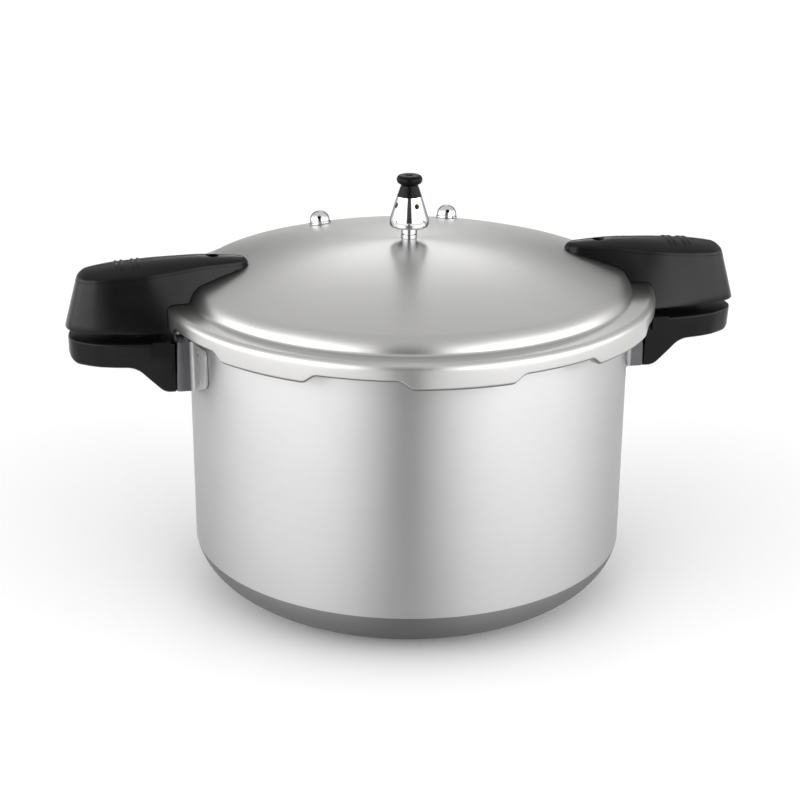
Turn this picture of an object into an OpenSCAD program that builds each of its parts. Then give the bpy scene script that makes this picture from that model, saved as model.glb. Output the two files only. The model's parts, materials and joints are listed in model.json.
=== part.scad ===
// Bayonet-lid pressure canner with two pairs of side grips, millimetres, +Z up.
// The origin is on the table at the middle of the base; X runs along the grips.

/* [Pot] */
// Outer radius of the pot wall
body_r = 160; // [150:1:170]
// Thickness of the pot and lid sheet
sheet = 3; // [2.5:0.25:3.5]
// Thickness of the pot floor
floor_t = 5; // [4:0.5:8]
// Height of the pot's rim
rim_z = 216.5; // [200:0.5:260]
// Radius of the flat base
base_r = 100; // [95:1:110]
// Height of the crease between wall and lower corner
crease_z = 37; // [30:1:40]

/* [Lid] */
// Outer radius of the lid's skirt
skirt_r = 178; // [176:0.5:182]
// Height of the middle of the dome above the rim
dome_rise = 44; // [40:0.5:50]
// Radius of the dome's sphere
dome_r = 501; // [480:1:560]
// Height of the ledge around the dome, above the rim
ledge_rise = 9.25; // [8:0.25:10]
// Number of bayonet lugs
lug_count = 8; // [8:1:8]

/* [Grips] */
// Distance from the pot's axis to the end of a lid grip
grip_reach = 247; // [240:1:255]
// Distance from the rim down to a lid grip's lower edge
grip_drop = 9.5; // [9:0.25:10.5]
// Distance from the axis to the hole in a lid grip's nose
nose_hole_r = 138; // [137:0.5:139]

/* [Valves] */
// Distance of a safety valve from the pot's axis
relief_r = 104; // [90:1:110]
// Angle of a safety valve either side of the middle between them
relief_a = 28.5; // [20:0.5:40]

/* [Hidden] */

$fn = 96;
gap = 0.3;          // between solids that don't touch but lie close
fit = 0.1;          // radial play of a screw, rivet or nut in its hole

// Pot
wall_in = body_r - sheet;
corner_b = 42.1;    // half height of the lower corner's ellipse
corner_t0 = asin(1 - crease_z / corner_b);
corner_steps = 10;
rim_flange_r = body_r + 5.4;
rim_t = 4;
rim_lug_r = body_r + 12.3;
rim_lug_a = 20;     // degrees that one lug covers
lug_pitch = 360 / lug_count;
lug_offset = 1;     // degrees from the grip axis to the nearest lug's middle

// Lid
apex_z = rim_z + dome_rise;
dome_c = apex_z - dome_r;
ledge_z = rim_z + ledge_rise;
shoulder_r = 14;
valley_r = 2.5;
valley_c = [body_r + 3, ledge_z + valley_r];
valley_far = norm(valley_c - [0, dome_c]);
shoulder_far = dome_r - shoulder_r;
shoulder_swing = acos(
    (pow(shoulder_far, 2) + pow(valley_far, 2) - pow(shoulder_r + valley_r, 2)) / (2 * shoulder_far * valley_far)
);
shoulder_a = atan2(valley_c[1] - dome_c, valley_c[0]) + shoulder_swing;
shoulder_c = [0, dome_c] + shoulder_far * [cos(shoulder_a), sin(shoulder_a)];
valley_a = atan2(valley_c[1] - shoulder_c[1], valley_c[0] - shoulder_c[0]);
edge_r = 4.5;
skirt_in = skirt_r - sheet;
skirt_z = rim_z - 3;
lip_z = rim_z - 9;
lip_t = 3.2;
lip_in = body_r + 6.2;
lip_a = 22;
lip_round = 3;
bevel = [1.8, 2.3];  // width and height of the bevel on the skirt's edge between lugs

// Lid grips
grip_z = rim_z - grip_drop;
tongue_z = apex_z - 22.5;
tongue_t = 2.5;
tongue_w = 24;
strip_t = 2;
strip_w = 14;
strip_r0 = 121;
strip_r1 = 154;
tongue_end = 220;
lid_screw_x = [186, 209];
rivet_shank = 1.9;
lid_rivet_r = [127.5, 148.5];
nose_hole = 4.3;
cavity_end = 226;

// Pot grips
pot_grip_x0 = 172.3;
pot_grip_top = rim_z - 16;
pot_grip_low = rim_z - 34.1;
pot_grip_root = rim_z - 54.1;
bracket_w = 60;
bracket_t = 2;
bracket_z0 = pot_grip_root + 1;
bracket_z1 = pot_grip_top - 0.3;
wing_a0 = 10.4;     // degrees from the grip axis to the start and end of a bracket's wing
wing_a1 = 19.3;
wing_slope = 24;
pot_rivet_a = 15;
pot_rivet_z = [bracket_z0 + 12, bracket_z1 - 8];
pot_rivet_shank = 2.4;
pot_screw_y = [-12, 12];
pot_screw_z = bracket_z0 + 17;

// Vent and regulator
shank_r = 4.9;
port_r = shank_r + 2 * fit;
pipe_bore = 1.3;
nozzle_r = 3.5;
nozzle_top = apex_z + 21;
bell_z = apex_z + 9;
bell_top = apex_z + 30.8;
bell_r = 13.9;
bell_neck = 8.85;
bell_t = 1;
knob_top = bell_top + 16;
bell_hole_a = 20;
bell_slot_a = 38;

// Safety valves
relief_seat = 3.2;
poppet_disc = 1.3;
cap_h = 10.4;
cap_t = 1;
cap_hole_a = -98;
spring_wire = 0.35;
spring_mean = 2.5;
spring_turns = 5;

alu = [0.78, 0.78, 0.79];
alu_lid = [0.74, 0.73, 0.72];
steel = [0.5, 0.5, 0.52];
chrome = [0.9, 0.9, 0.92];
brass = [0.78, 0.62, 0.33];
black = [0.07, 0.07, 0.08];
rubber = [0.82, 0.82, 0.8];

// Points of an arc about c, from angle a0 to a1
function arc(c, r, a0, a1, n) = [
    for (i = [0:n])
        let (a = a0 + (a1 - a0) * i / n)
        c + r * [cos(a), sin(a)]
];

// Elliptical lower corner of the pot, from the crease down to the flat base
function corner(wide, low) = [
    for (i = [0:corner_steps])
        let (t = corner_t0 + (90 - corner_t0) * i / corner_steps)
        [base_r + wide / cos(corner_t0) * cos(t), low + corner_b * (1 - sin(t))]
];

// Outside of the lid from its axis to the top of the skirt, moved outwards by d
function lid_top(d) = concat(
    arc([0, dome_c], dome_r + d, 90, shoulder_a, 14),
    arc(shoulder_c, shoulder_r + d, shoulder_a, valley_a, 7),
    arc(valley_c, valley_r - d, 180 + valley_a, 270, 5),
    arc([skirt_r - edge_r, ledge_z - edge_r], edge_r + d, 90, 0, 5)
);

module spin(profile) {
    rotate_extrude($fn = 180) polygon(profile);
}

module ring(r_out, r_in, h) {
    difference() {
        cylinder(r = r_out, h = h);
        translate([0, 0, -1]) cylinder(r = r_in, h = h + 2);
    }
}

// Puts children on the dome at radius r and angle a, with +Z along its normal
module on_dome(r, a) {
    rotate([0, 0, a])
        translate([0, 0, dome_c])
            rotate([0, asin(r / dome_r), 0])
                translate([0, 0, dome_r])
                    children();
}

// Puts children on the pot wall at angle a and height z, with +Z along its normal
module on_wall(r, a, z) {
    rotate([0, 0, a])
        translate([r, 0, z])
            rotate([0, 90, 0])
                children();
}

module hex(af, h) {
    cylinder(r = af / 2 / cos(30), h = h, $fn = 6);
}

// ---- Pot ----

module pot_body() {
    rim_lug = [
        [wall_in + 1, rim_z - rim_t], [rim_lug_r - 1, rim_z - rim_t], [rim_lug_r, rim_z - rim_t + 1],
        [rim_lug_r, rim_z - 1], [rim_lug_r - 1, rim_z], [wall_in + 1, rim_z],
    ];
    outside = corner(body_r - base_r, 0);
    inside = corner(wall_in - base_r, floor_t);
    wall = concat(
        [[0, 0]],
        [for (i = [corner_steps:-1:0]) outside[i]],
        [
            [body_r, rim_z - rim_t - 2], [rim_flange_r - 1, rim_z - rim_t],
            [rim_flange_r, rim_z - rim_t + 1], [rim_flange_r, rim_z], [wall_in, rim_z],
        ],
        inside,
        [[0, floor_t]]
    );
    color(alu)
        difference() {
            union() {
                spin(wall);
                for (i = [0:lug_count - 1])
                    rotate([0, 0, lug_offset + i * lug_pitch - rim_lug_a / 2])
                        rotate_extrude(angle = rim_lug_a, $fn = 180) polygon(rim_lug);
            }
            pot_rivet_places() cylinder(r = pot_rivet_shank + fit, h = 20, center = true);
        }
}

module canning_rack() {
    plate_z = floor_t + 15;
    plate_t = 1.5;
    foot_r = base_r - 2;
    color(steel) {
        difference() {
            translate([0, 0, plate_z]) cylinder(r = body_r - 20, h = plate_t);
            for (k = [1:4])
                for (i = [0:6 * k - 1])
                    rotate([0, 0, i * 60 / k])
                        translate([k * 30, 0, plate_z - 1]) cylinder(r = 7, h = plate_t + 2, $fn = 32);
            translate([0, 0, plate_z - 1]) cylinder(r = 10, h = plate_t + 2);
        }
        translate([0, 0, floor_t + 0.05]) ring(foot_r, foot_r - 2, plate_z - floor_t);
    }
}

module sealing_gasket() {
    low = rim_z + 0.4;
    top = ledge_z - sheet - gap;
    outer = skirt_in - 0.6;
    color(rubber)
        spin([
            [body_r + 0.5, top], [body_r + 0.5, low + 1.5], [body_r + 1.5, low], [body_r + 4, low],
            [body_r + 5.5, low + 2], [body_r + 8.5, low + 2], [body_r + 10, low], [outer - 0.8, low],
            [outer, low + 0.8], [outer, top - 1.5], [outer - 1.5, top],
        ]);
}

// ---- Lid ----

module lid() {
    top = lid_top(0);
    under = lid_top(-sheet);
    shell = concat(
        top,
        arc([skirt_r - lip_round, lip_z + lip_round], lip_round, 0, -90, 5),
        [[lip_in, lip_z], [lip_in, lip_z + lip_t], [skirt_in, lip_z + lip_t]],
        [for (i = [len(under) - 1:-1:0]) under[i]]
    );
    gap_cut = [
        [body_r + 4, lip_z - 2], [skirt_r + 2 * bevel[0], lip_z - 2],
        [skirt_r + 2 * bevel[0], skirt_z + 3 * bevel[1]], [skirt_r - bevel[0], skirt_z],
        [body_r + 4, skirt_z],
    ];
    color(alu_lid)
        difference() {
            spin(shell);
            for (i = [0:lug_count - 1])
                rotate([0, 0, lug_offset + i * lug_pitch + lip_a / 2])
                    rotate_extrude(angle = lug_pitch - lip_a, $fn = 180) polygon(gap_cut);
            translate([0, 0, apex_z - 10]) cylinder(r = port_r, h = 20);
            relief_places() cylinder(r = port_r, h = 20, center = true);
            on_dome(nose_hole_r, 180) cylinder(r = nose_hole + fit, h = 20, center = true);
            lid_rivet_places() cylinder(r = rivet_shank + fit, h = 20, center = true);
        }
}

// ---- Lid grips ----

// Stations of a lid grip: distance from the axis, half width and height of its upper edge, crown height
grip_top = [
    [118.5, 4, 249.8, 251], [124, 8.5, 250.6, 252.8], [145, 13, 250.5, 254.1], [170, 17, 248.3, 253.9],
    [190, 19.5, 246.5, 252.9], [208, 19.5, 245.3, 251.5], [222, 17.5, 244.3, 249.7],
    [230, 14, 243.7, 248.1], [grip_reach - 12, 7, 243.2, 245],
];
// Stations of its lower edge: distance from the axis and half width
grip_foot = [
    [108, 12], [145, 26], [176, 31.5], [186, 31], [207, 28.2], [226, 24], [238, 18.5],
    [grip_reach - 3.5, 13], [grip_reach - 1, 5], [grip_reach, 2],
];

module lid_handle() {
    top_round = 2;
    foot_round = 1.5;
    difference() {
        hull($fn = 16) {
            for (p = grip_top)
                for (s = [-1, 1])
                    translate([p[0], s * max(p[1] - top_round, 0), p[2] - top_round]) sphere(top_round);
            for (p = grip_top)
                for (k = [0, 0.5, -0.5])
                    translate([p[0], k * p[1], p[3] - k * k * (p[3] - p[2]) - top_round]) sphere(top_round);
            for (p = grip_foot)
                for (s = [-1, 1])
                    translate([p[0] - foot_round, s * max(p[1] - foot_round, 0), grip_z + foot_round])
                        sphere(foot_round);
        }
        spin(concat([[0, grip_z - 10]], lid_top(0.5), [[skirt_r + 0.5, grip_z - 10]]));
        bracket_room();
        for (x = lid_screw_x) translate([x, 0, tongue_z]) cylinder(r = 2.5, h = 8.5);
        on_dome(nose_hole_r, 0) cylinder(r = nose_hole, h = 40, center = true);
    }
}

// Hollow under a lid grip for its bracket, rivets and screws
module bracket_room() {
    strip_l = strip_r1 - strip_r0 + 5;
    on_dome((strip_r0 + strip_r1) / 2, 0)
        translate([-strip_l / 2, -strip_w / 2 - gap, -6]) cube([strip_l, strip_w + 2 * gap, strip_t + 7.5]);
    translate([strip_r1 - 4, -tongue_w / 2 - 1, grip_z - 1])
        cube([cavity_end - strip_r1 + 4, tongue_w + 2, tongue_z + tongue_t + gap - grip_z + 1]);
}

module lid_bracket() {
    difference() {
        union() {
            intersection() {
                difference() {
                    spin(concat([[0, apex_z - 40]], lid_top(strip_t + 0.1), [[skirt_r, apex_z - 40]]));
                    spin(concat([[0, apex_z - 50]], lid_top(0.1), [[skirt_r, apex_z - 50]]));
                }
                translate([strip_r0, -strip_w / 2, apex_z - 25]) cube([strip_r1 - strip_r0, strip_w, 30]);
            }
            translate([strip_r1 - 3, -tongue_w / 2, tongue_z])
                cube([tongue_end - strip_r1 + 3, tongue_w, tongue_t]);
        }
        for (x = lid_screw_x) translate([x, 0, tongue_z - 1]) cylinder(r = 2.5, h = tongue_t + 2);
        on_dome(nose_hole_r, 0) cylinder(r = nose_hole + fit, h = 20, center = true);
        for (r = lid_rivet_r)
            on_dome(r, 0) {
                cylinder(r = rivet_shank + fit, h = 20, center = true);
                translate([0, 0, strip_t]) cylinder(r = 3, h = 5);
            }
    }
}

module lid_rivet_places() {
    for (a = [0, 180])
        for (r = lid_rivet_r)
            on_dome(r, a) children();
}

module lid_bracket_rivets() {
    color(alu)
        lid_rivet_places() {
            translate([0, 0, -sheet - 0.3]) cylinder(r = rivet_shank, h = sheet + strip_t + 0.45);
            translate([0, 0, -sheet - 1.5]) cylinder(r1 = 2.4, r2 = 3.4, h = 1.3);
            translate([0, 0, strip_t + 0.12]) cylinder(r1 = 2.6, r2 = 2, h = 0.6);
        }
}

module lid_handle_screws() {
    color(steel)
        for (a = [0, 180])
            for (x = lid_screw_x)
                rotate([0, 0, a])
                    translate([x, 0, 0]) {
                        translate([0, 0, tongue_z - 0.05]) cylinder(r = 2.4, h = 8.2);
                        translate([0, 0, tongue_z - 3.1])
                            difference() {
                                cylinder(r = 4.2, h = 3.05);
                                translate([0, 0, -1]) hex(3, 3);
                            }
                    }
}

module right_nose_screw() {
    color(steel)
        on_dome(nose_hole_r, 0) {
            translate([0, 0, strip_t + 1.2])
                difference() {
                    cylinder(r = nose_hole - 0.4, h = 2.6);
                    translate([-5, -0.5, 1.6]) cube([10, 1, 2]);
                }
            translate([0, 0, 0.3]) cylinder(r = 2, h = strip_t + 1);
        }
}

// ---- Pot grips ----

module pot_handle() {
    end_x = grip_reach - 1.7;
    in_r = 16;
    out_r = 10;
    bend = 48;
    knee = [206, pot_grip_low];
    side = concat(
        [[pot_grip_x0, pot_grip_root], [175.5, pot_grip_root]],
        arc([175.5, pot_grip_root + out_r], out_r, 270, 270 + bend, 5),
        arc(knee - [0, in_r], in_r, 90 + bend, 90, 5),
        arc([end_x - 11, pot_grip_low + 8], 8, 270, 350, 5),
        arc([end_x - 1.5, pot_grip_top - 1.5], 1.5, 0, 90, 3),
        [[pot_grip_x0, pot_grip_top]]
    );
    plan = [
        [pot_grip_x0, 32], [186, 33], [207, 31], [224, 26.5], [234, 20.5], [240, 15.5],
        [end_x - 1.5, 9], [end_x, 3],
    ];
    mirrored = [for (i = [len(plan) - 1:-1:0]) [plan[i][0], -plan[i][1]]];
    difference() {
        intersection() {
            rotate([90, 0, 0]) linear_extrude(80, center = true) polygon(side);
            translate([0, 0, pot_grip_root - 5]) linear_extrude(60) polygon(concat(plan, mirrored));
        }
        for (y = pot_screw_y)
            translate([pot_grip_x0 - 1, y, pot_screw_z]) rotate([0, 90, 0]) cylinder(r = 2.5, h = 16);
        for (s = [-1, 1])
            translate([pot_grip_x0 + 3, s * 34 - 2, pot_grip_top - 8]) cube([12, 4, 20]);
    }
}

module pot_bracket() {
    height = bracket_z1 - bracket_z0;
    band_r = body_r + 0.2;
    spare = 4;   // sticks out over and under the bracket until it is cut to height
    difference() {
        intersection() {
            union() {
                for (s = [-1, 1])
                    rotate([0, 0, s * (wing_a1 + wing_a0) / 2 - (wing_a1 - wing_a0) / 2])
                        rotate_extrude(angle = wing_a1 - wing_a0, $fn = 180)
                            translate([band_r - 1, bracket_z0 - spare / 2])
                                square([bracket_t + 1, height + spare]);
                for (s = [-1, 1])
                    translate([
                        body_r - 10, s * (bracket_w - bracket_t) / 2 - bracket_t / 2, bracket_z0 - spare
                    ])
                        cube([pot_grip_x0 - 0.1 - body_r + 10, bracket_t, height + 2 * spare]);
                translate([pot_grip_x0 - 0.1 - bracket_t, -bracket_w / 2, bracket_z0 - spare])
                    cube([bracket_t, bracket_w, height + 2 * spare]);
            }
            translate([body_r - 30, -body_r, bracket_z0]) cube([body_r, 2 * body_r, height]);
        }
        translate([0, 0, bracket_z0 - 1]) cylinder(r = band_r, h = height + 2, $fn = 180);
        for (y = pot_screw_y)
            translate([pot_grip_x0 - 5, y, pot_screw_z]) rotate([0, 90, 0]) cylinder(r = 2.5, h = 10);
        for (s = [-1, 1])
            for (z = pot_rivet_z)
                on_wall(body_r, s * pot_rivet_a, z)
                    cylinder(r = pot_rivet_shank + fit, h = 20, center = true);
        for (s = [-1, 1])
            translate([body_r - 20, s * (bracket_w / 2 + 1), bracket_z0])
                rotate([s * wing_slope, 0, 0])
                    translate([0, 17 * s - 23, -30]) cube([40, 46, 30]);
    }
}

module pot_rivet_places() {
    for (a = [0, 180])
        for (s = [-1, 1])
            for (z = pot_rivet_z)
                on_wall(body_r, a + s * pot_rivet_a, z) children();
}

module pot_bracket_rivets() {
    color(alu)
        pot_rivet_places() {
            translate([0, 0, -sheet - 0.2]) cylinder(r = pot_rivet_shank, h = sheet + bracket_t + 0.5);
            translate([0, 0, -sheet - 1.3]) cylinder(r1 = 3.4, r2 = 4.4, h = 1.2);
        }
}

module pot_handle_screws() {
    color(steel)
        for (a = [0, 180])
            for (y = pot_screw_y)
                rotate([0, 0, a])
                    translate([pot_grip_x0 - 0.15 - bracket_t, y, pot_screw_z])
                        rotate([0, 90, 0]) {
                            cylinder(r = 2.4, h = 15);
                            translate([0, 0, -3])
                                difference() {
                                    cylinder(r = 4.2, h = 3);
                                    translate([0, 0, -1]) hex(3, 3);
                                }
                        }
}

// ---- Regulator ----

function bell(d) = [
    [bell_r - 0.7 - d, bell_z], [bell_r - d, bell_z + 1.6], [bell_r - d, bell_z + 4.6],
    [bell_r - 0.5 - d, bell_z + 6.8], [bell_neck - d, bell_top],
];

module regulator_shell() {
    skin = bell(0);
    lining = bell(bell_t);
    color(chrome)
        difference() {
            spin(concat(
                skin,
                [[1.7, bell_top], [1.7, bell_top - bell_t], [lining[4][0] + 0.3, bell_top - bell_t]],
                [lining[3], lining[2], lining[1], lining[0]]
            ));
            for (i = [0:3]) {
                rotate([0, 0, bell_hole_a + 90 * i])
                    translate([0, 0, bell_z + 16]) rotate([0, 90, 0]) cylinder(r = 2, h = 20);
                rotate([0, 0, bell_slot_a + 90 * i])
                    translate([8, -0.8, bell_z + 1.2]) cube([8, 1.6, 5]);
            }
        }
}

module regulator_knob() {
    low = bell_top + 0.1;
    ball = [6, knob_top - 4.1];
    color(black)
        spin(concat(
            [[1.6, low], [bell_neck - 0.05, low], [6.2, low + 8]],
            arc(ball, 3.3, -70, 90, 8),
            [[3, knob_top - 0.3], [0, knob_top], [0, low + 7], [1.6, low + 7]]
        ));
}

module regulator_weight() {
    low = bell_z + 4;
    top = bell_top - bell_t - 0.1;
    ceiling = nozzle_top + 1.5;
    color(brass)
        spin([
            [nozzle_r + fit, low], [6.6, low], [7.2, low + 1], [7.2, top - 1], [6.4, top], [1.6, top],
            [1.6, top - 4], [0, top - 4], [0, ceiling - 3.4], [1.1, ceiling - 1.4], [1.1, ceiling],
            [nozzle_r + fit, ceiling],
        ]);
}

module regulator_screw() {
    low = bell_top - bell_t - 3.8;
    color(steel) translate([0, 0, low]) cylinder(r = 1.5, h = 11.5);
}

module vent_pipe() {
    collar = 5.6;
    base = apex_z + 0.1;
    color(chrome)
        spin([
            [pipe_bore, apex_z - 17], [shank_r, apex_z - 17], [shank_r, base], [collar, base],
            [collar, base + 2.8], [collar - 0.7, base + 3], [collar - 0.7, base + 3.5],
            [collar, base + 3.7],
            [collar, base + 9.4], [collar - 0.6, base + 10], [nozzle_r, base + 10.4],
            [nozzle_r, nozzle_top - 1], [nozzle_r - 1, nozzle_top], [pipe_bore, nozzle_top],
        ]);
}

module vent_pipe_gasket() {
    color(rubber) translate([0, 0, apex_z - sheet - 1.65]) ring(7.6, port_r, 1.5);
}

module vent_pipe_nut() {
    color(brass)
        translate([0, 0, apex_z - sheet - 5.8])
            difference() {
                hex(14, 4);
                translate([0, 0, -1]) cylinder(r = shank_r + fit, h = 6);
            }
}

module anti_clog_cap() {
    cap_r = 9;
    height = 13;
    low = apex_z - sheet - 6 - height;
    color(chrome)
        difference() {
            translate([0, 0, low]) cylinder(r = cap_r, h = height);
            translate([0, 0, low + 1]) cylinder(r = cap_r - 1, h = height - 2.2);
            translate([0, 0, low + 2]) cylinder(r = shank_r + fit, h = height);
            for (i = [0:7])
                rotate([0, 0, 45 * i])
                    translate([0, 0, low + 5.5]) rotate([0, 90, 0]) cylinder(r = 1.5, h = 12, $fn = 32);
            for (i = [0:5])
                rotate([0, 0, 60 * i])
                    translate([5, 0, low - 1]) cylinder(r = 1.2, h = 3, $fn = 32);
        }
}

// ---- Interlock float ----

module float_pin() {
    color(brass)
        on_dome(nose_hole_r, 180) {
            translate([0, 0, -12.4]) cylinder(r = 2.55, h = 15.5);
            translate([0, 0, strip_t + 0.4]) cylinder(r = 3.6, h = 1.4);
            translate([0, 0, -12.6]) cylinder(r = 4.6, h = 2);
        }
}

module float_bush() {
    color(steel)
        on_dome(nose_hole_r, 180)
            translate([0, 0, -sheet - 1.7])
                difference() {
                    union() {
                        cylinder(r = nose_hole - 0.1, h = sheet + strip_t + 2);
                        cylinder(r = 6.5, h = 1.5);
                    }
                    translate([0, 0, -1]) cylinder(r = 2.6, h = sheet + strip_t + 5);
                }
}

module float_seal() {
    color(rubber) on_dome(nose_hole_r, 180) translate([0, 0, -10.5]) ring(4.3, 2.6, 1.5);
}

// ---- Safety valves ----

// Angle of the left (-1) or right (1) safety valve about the axis
function relief_angle(side) = 91.5 - side * relief_a;

module relief_places() {
    for (side = [-1, 1]) on_dome(relief_r, relief_angle(side)) children();
}

module relief_body() {
    color(chrome)
        spin([
            [1.8, -11], [shank_r, -11], [shank_r, 0.1], [7.9, 0.1], [8.1, 0.4], [8.1, 1.3], [7.8, 1.6],
            [6.3, 1.6], [6.3, relief_seat - 0.4], [5.9, relief_seat], [1.8, relief_seat],
        ]);
}

// Cap of a safety valve that sits at angle a about the axis; its side hole faces the front
module relief_cap(a) {
    base = 1.7;
    wide = 7.7;
    crown = 3.4;
    crown_round = 3.1;
    difference() {
        color(chrome)
            spin(concat(
                [[wide - cap_t, base], [wide, base], [wide - 0.5, base + 2.5]],
                arc([crown, cap_h - crown_round], crown_round, 18, 90, 7),
                [
                    [0, cap_h + 0.2], [0, cap_h - cap_t], [crown, cap_h - cap_t - 0.3],
                    [wide - cap_t - 0.5, base + 2.5],
                ]
            ));
        rotate([0, 0, cap_hole_a - a])
            translate([0, 0, 5.5]) rotate([0, 90, 0]) cylinder(r = 1.4, h = 12, $fn = 32);
    }
}

module relief_poppet() {
    color(brass)
        spin([
            [0, -4], [1.7, -4], [1.7, relief_seat + 0.05], [3.6, relief_seat + 0.05],
            [3.6, relief_seat + poppet_disc], [1.6, relief_seat + poppet_disc],
            [1.6, relief_seat + poppet_disc + 2], [0, relief_seat + poppet_disc + 2],
        ]);
}

// Helical spring between the poppet's disc and the roof of the cap
module relief_spring() {
    low = relief_seat + poppet_disc + spring_wire + 0.1;
    rise = cap_h - cap_t - 0.5 - spring_wire - low;
    sides = 6;
    steps = spring_turns * 14;
    pts = [
        for (i = [0:steps])
            let (a = 360 * spring_turns * i / steps, z = low + rise * i / steps)
            for (k = [0:sides - 1])
                let (b = 360 * k / sides, r = spring_mean + spring_wire * cos(b))
                [r * cos(a), r * sin(a), z + spring_wire * sin(b)]
    ];
    skin = [
        for (i = [0:steps - 1])
            for (k = [0:sides - 1])
                let (j = (k + 1) % sides, p = i * sides, q = p + sides)
                [p + k, q + k, q + j, p + j]
    ];
    ends = [[for (k = [0:sides - 1]) k], [for (k = [sides - 1:-1:0]) steps * sides + k]];
    color(steel) polyhedron(pts, concat(skin, ends), convexity = 10);
}

module relief_gasket() {
    color(rubber) translate([0, 0, -sheet - 1.65]) ring(7.6, port_r, 1.5);
}

module relief_nut() {
    color(brass)
        translate([0, 0, -sheet - 5.8])
            difference() {
                hex(14, 4);
                translate([0, 0, -1]) cylinder(r = shank_r + fit, h = 6);
            }
}

// ---- Pieces that come in pairs ----

module left() {
    rotate([0, 0, 180]) children();
}

module left_valve() {
    on_dome(relief_r, relief_angle(-1)) children();
}

module right_valve() {
    on_dome(relief_r, relief_angle(1)) children();
}

module left_lid_handle() { color(black) left() lid_handle(); }
module right_lid_handle() { color(black) lid_handle(); }
module left_pot_handle() { color(black) left() pot_handle(); }
module right_pot_handle() { color(black) pot_handle(); }
module left_lid_bracket() { color(steel) left() lid_bracket(); }
module right_lid_bracket() { color(steel) lid_bracket(); }
module left_pot_bracket() { color(steel) left() pot_bracket(); }
module right_pot_bracket() { color(steel) pot_bracket(); }
module left_relief_body() { left_valve() relief_body(); }
module right_relief_body() { right_valve() relief_body(); }
module left_relief_cap() { left_valve() relief_cap(relief_angle(-1)); }
module right_relief_cap() { right_valve() relief_cap(relief_angle(1)); }
module left_relief_poppet() { left_valve() relief_poppet(); }
module right_relief_poppet() { right_valve() relief_poppet(); }
module left_relief_spring() { left_valve() relief_spring(); }
module right_relief_spring() { right_valve() relief_spring(); }
module left_relief_gasket() { left_valve() relief_gasket(); }
module right_relief_gasket() { right_valve() relief_gasket(); }
module left_relief_nut() { left_valve() relief_nut(); }
module right_relief_nut() { right_valve() relief_nut(); }

pot_body();
canning_rack();
sealing_gasket();
lid();
left_lid_handle();
right_lid_handle();
left_pot_handle();
right_pot_handle();
left_lid_bracket();
right_lid_bracket();
left_pot_bracket();
right_pot_bracket();
lid_bracket_rivets();
pot_bracket_rivets();
lid_handle_screws();
pot_handle_screws();
right_nose_screw();
regulator_shell();
regulator_knob();
regulator_weight();
regulator_screw();
vent_pipe();
vent_pipe_gasket();
vent_pipe_nut();
anti_clog_cap();
float_pin();
float_bush();
float_seal();
left_relief_body();
left_relief_cap();
left_relief_poppet();
left_relief_spring();
left_relief_gasket();
left_relief_nut();
right_relief_body();
right_relief_cap();
right_relief_poppet();
right_relief_spring();
right_relief_gasket();
right_relief_nut();
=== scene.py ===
"""The looks of the pressure canner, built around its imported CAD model. Metres, +Z up, X along the grips."""

import json
import math

import bmesh
import bpy
import numpy as np
from mathutils import Matrix, Vector


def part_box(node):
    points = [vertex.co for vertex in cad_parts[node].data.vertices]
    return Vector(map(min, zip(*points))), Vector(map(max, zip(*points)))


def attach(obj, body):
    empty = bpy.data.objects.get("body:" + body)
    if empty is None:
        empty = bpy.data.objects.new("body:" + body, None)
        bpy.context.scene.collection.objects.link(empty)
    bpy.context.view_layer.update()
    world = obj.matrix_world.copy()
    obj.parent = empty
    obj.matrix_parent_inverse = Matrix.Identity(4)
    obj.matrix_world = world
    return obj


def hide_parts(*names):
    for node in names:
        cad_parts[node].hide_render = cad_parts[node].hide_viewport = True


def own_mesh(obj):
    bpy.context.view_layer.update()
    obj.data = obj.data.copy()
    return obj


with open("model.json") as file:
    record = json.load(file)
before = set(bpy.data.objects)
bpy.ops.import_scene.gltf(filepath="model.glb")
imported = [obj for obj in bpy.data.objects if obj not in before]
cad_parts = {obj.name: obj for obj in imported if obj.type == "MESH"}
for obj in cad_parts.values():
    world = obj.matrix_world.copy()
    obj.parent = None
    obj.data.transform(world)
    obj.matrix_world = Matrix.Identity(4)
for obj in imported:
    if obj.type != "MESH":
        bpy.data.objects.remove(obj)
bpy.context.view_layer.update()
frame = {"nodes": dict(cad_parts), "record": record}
nodes = frame["nodes"]
MM = 0.001

# ---------------------------------------------------------------- sizes, from the frame

_, pot_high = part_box("pot_body")
lid_low, lid_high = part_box("lid")
bracket_low, bracket_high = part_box("right_pot_bracket")
shell_low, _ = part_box("regulator_shell")
knob_low, knob_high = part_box("regulator_knob")

# Pot
RIM_Z = pot_high.z
RIM_FLANGE = 5.4 * MM
LUG_REACH = 12.3 * MM
BODY_R = pot_high.y - LUG_REACH
SHEET = 3 * MM
FLOOR_T = 5 * MM
BASE_R = 100 * MM
CREASE_Z = 37 * MM
CORNER_B = 42.1 * MM  # half height of the lower corner's ellipse
LUG_COUNT = 8
LUG_OFFSET = 1.0  # degrees
# Degrees from a lug's middle where it starts to fade, and where it has gone
POT_LUG = (8.8, 10.0)
LID_LUG = (10.2, 13.9)
LIP = (10.2, 11.2)

# Lid
SKIRT_R = lid_high.y
APEX_Z = lid_high.z
LIP_Z = lid_low.z
LEDGE_Z = RIM_Z + 9.25 * MM
SKIRT_Z = RIM_Z - 3 * MM
DOME_R = 501 * MM
DOME_C = APEX_Z - DOME_R
NOSE_HOLE_R = 138 * MM
NOSE_HOLE = 4.3 * MM
FIT = 0.1 * MM  # play of a piece in its hole

# Relief valves: distance from the axis, angles in degrees and the port's radius
RELIEF_R = 104 * MM
RELIEF_MID = 91.5
RELIEF_A = 28.5
RELIEF_HOLE_A = -98
PORT_R = 5.1 * MM

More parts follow.
